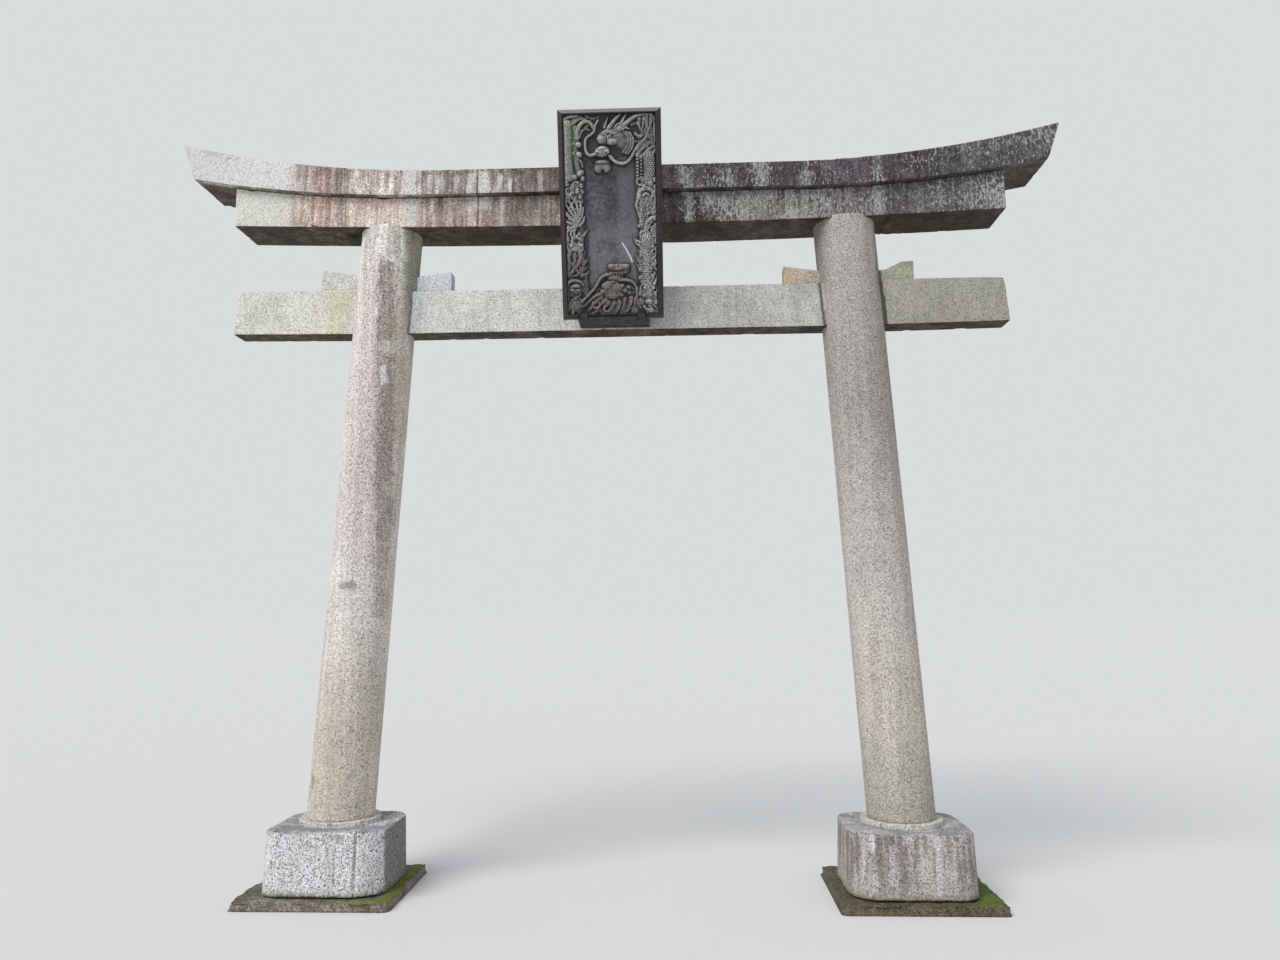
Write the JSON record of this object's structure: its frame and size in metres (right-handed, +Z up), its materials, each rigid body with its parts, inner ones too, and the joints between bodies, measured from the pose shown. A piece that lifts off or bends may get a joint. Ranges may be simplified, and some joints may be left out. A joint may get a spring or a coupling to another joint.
{
  "type": "torii gate",
  "caption": "Granite shrine gateway with leaning pillars on base stones, a wedged tie beam, an upswept stacked lintel and a tilted relief plaque.",
  "frame": {"origin": "at floor level, centred under the whole gate, plaque included", "axes": "+X to the right seen from the front, the front with the plaque faces -Y, +Z up"},
  "size_m": [4.7382, 0.8827, 3.9563],
  "materials": {
    "ground_stone": "rough tooled stone with moss",
    "base_stone": "speckled granite, dressed, with dark drips",
    "left_pillar_granite": "speckled granite with a brown stain",
    "right_pillar_granite": "speckled granite, weathered",
    "tie_beam_granite": "pale weathered granite",
    "wedge_granite": "pale weathered granite",
    "strut_granite": "weathered granite",
    "lower_lintel_granite": "granite with dark lichen stains",
    "upper_lintel_granite": "granite with dark lichen stains",
    "plaque_bronze": "cast bronze, dark patina",
    "frame_bronze": "dark bronze bars",
    "black_iron": "black forged iron"
  },
  "bodies": {
    "root": {"left_ground_slab": "ground_stone", "right_ground_slab": "ground_stone", "left_base_stone": "base_stone", "right_base_stone": "base_stone", "left_pillar": "left_pillar_granite", "right_pillar": "right_pillar_granite", "tie_beam_centre": "tie_beam_granite", "left_tie_beam_end": "tie_beam_granite", "right_tie_beam_end": "tie_beam_granite", "left_outer_wedge": "wedge_granite", "left_inner_wedge": "wedge_granite", "right_inner_wedge": "wedge_granite", "right_outer_wedge": "wedge_granite", "centre_strut": "strut_granite", "lower_lintel_left": "lower_lintel_granite", "lower_lintel_centre": "lower_lintel_granite", "lower_lintel_right": "lower_lintel_granite", "upper_lintel_left": "upper_lintel_granite", "upper_lintel_centre": "upper_lintel_granite", "upper_lintel_right": "upper_lintel_granite", "plaque_panel": "plaque_bronze", "plaque_relief": "plaque_bronze", "plaque_frame_left": "frame_bronze", "plaque_frame_right": "frame_bronze", "plaque_frame_bottom": "frame_bronze", "plaque_frame_top": "frame_bronze", "plaque_shelf": "black_iron", "left_plaque_hook": "black_iron", "right_plaque_hook": "black_iron", "left_plaque_stay": "black_iron", "right_plaque_stay": "black_iron"}
  },
  "joints": []
}
